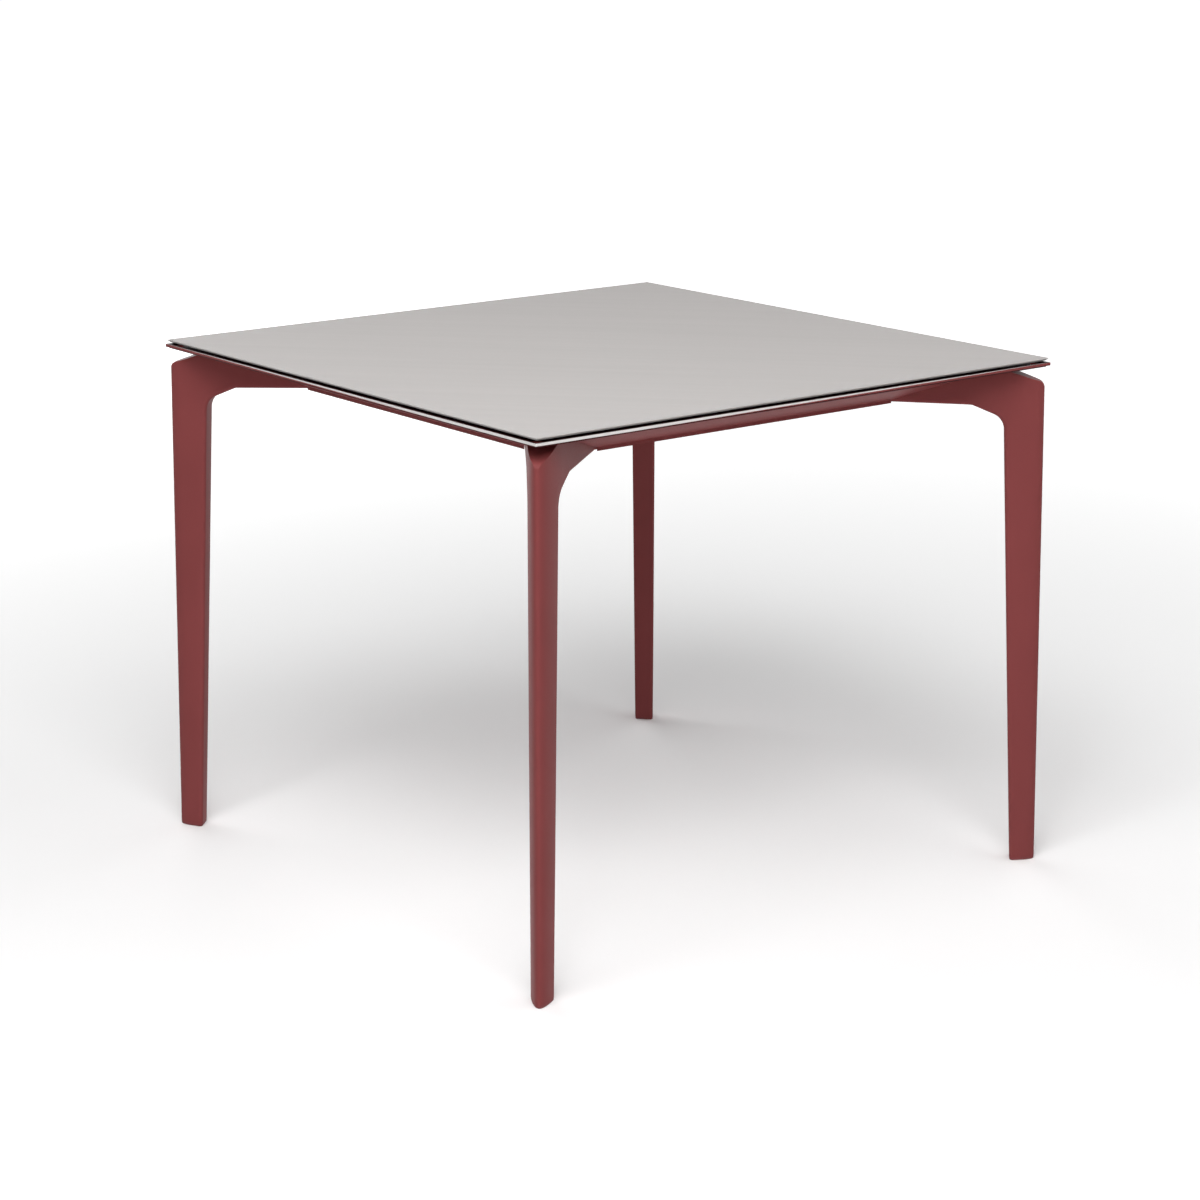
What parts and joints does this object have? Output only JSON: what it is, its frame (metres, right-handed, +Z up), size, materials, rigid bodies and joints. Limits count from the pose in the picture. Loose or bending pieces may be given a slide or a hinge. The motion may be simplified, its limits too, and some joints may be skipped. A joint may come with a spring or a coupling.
{
  "type": "square dining table",
  "caption": "Square dining table with a thin pale top over a shadow gap, sloping skirt beams and splayed wedge legs that run inward as diagonal arms.",
  "frame": {"origin": "on the floor under the centre of the top", "axes": "+Z up; -Y is the front side and +X the right side; the picture looks at the front left corner"},
  "size_m": [0.9094, 0.9094, 0.743],
  "materials": {
    "pale_coat": "matte",
    "red_coat": "satin",
    "bare_aluminium": "satin",
    "red_plastic": "matte",
    "black_rubber": "matte",
    "zinc_steel": "satin"
  },
  "bodies": {
    "root": {"top_panel": "pale_coat", "panel_batten_front": "bare_aluminium", "panel_batten_right": "bare_aluminium", "panel_batten_back": "bare_aluminium", "panel_batten_left": "bare_aluminium", "edge_rail_front": "red_coat", "edge_rail_right": "red_coat", "edge_rail_back": "red_coat", "edge_rail_left": "red_coat", "skirt_beam_front": "red_coat", "skirt_beam_right": "red_coat", "skirt_beam_back": "red_coat", "skirt_beam_left": "red_coat", "leg_front_left": "red_coat", "foot_glide_front_left": "red_plastic", "corner_bracket_front_left": "zinc_steel", "leg_front_right": "red_coat", "foot_glide_front_right": "red_plastic", "corner_bracket_front_right": "zinc_steel", "leg_back_right": "red_coat", "foot_glide_back_right": "red_plastic", "corner_bracket_back_right": "zinc_steel", "leg_back_left": "red_coat", "foot_glide_back_left": "red_plastic", "corner_bracket_back_left": "zinc_steel", "cross_rail_left": "bare_aluminium", "rail_strip_left": "black_rubber", "cross_rail_right": "bare_aluminium", "rail_strip_right": "black_rubber", "panel_buttons": "black_rubber", "panel_screws": "zinc_steel", "skirt_screws": "zinc_steel", "arm_screws": "zinc_steel", "cross_rail_screws": "zinc_steel", "bracket_screws": "zinc_steel", "arm_bolts": "zinc_steel"}
  },
  "joints": []
}
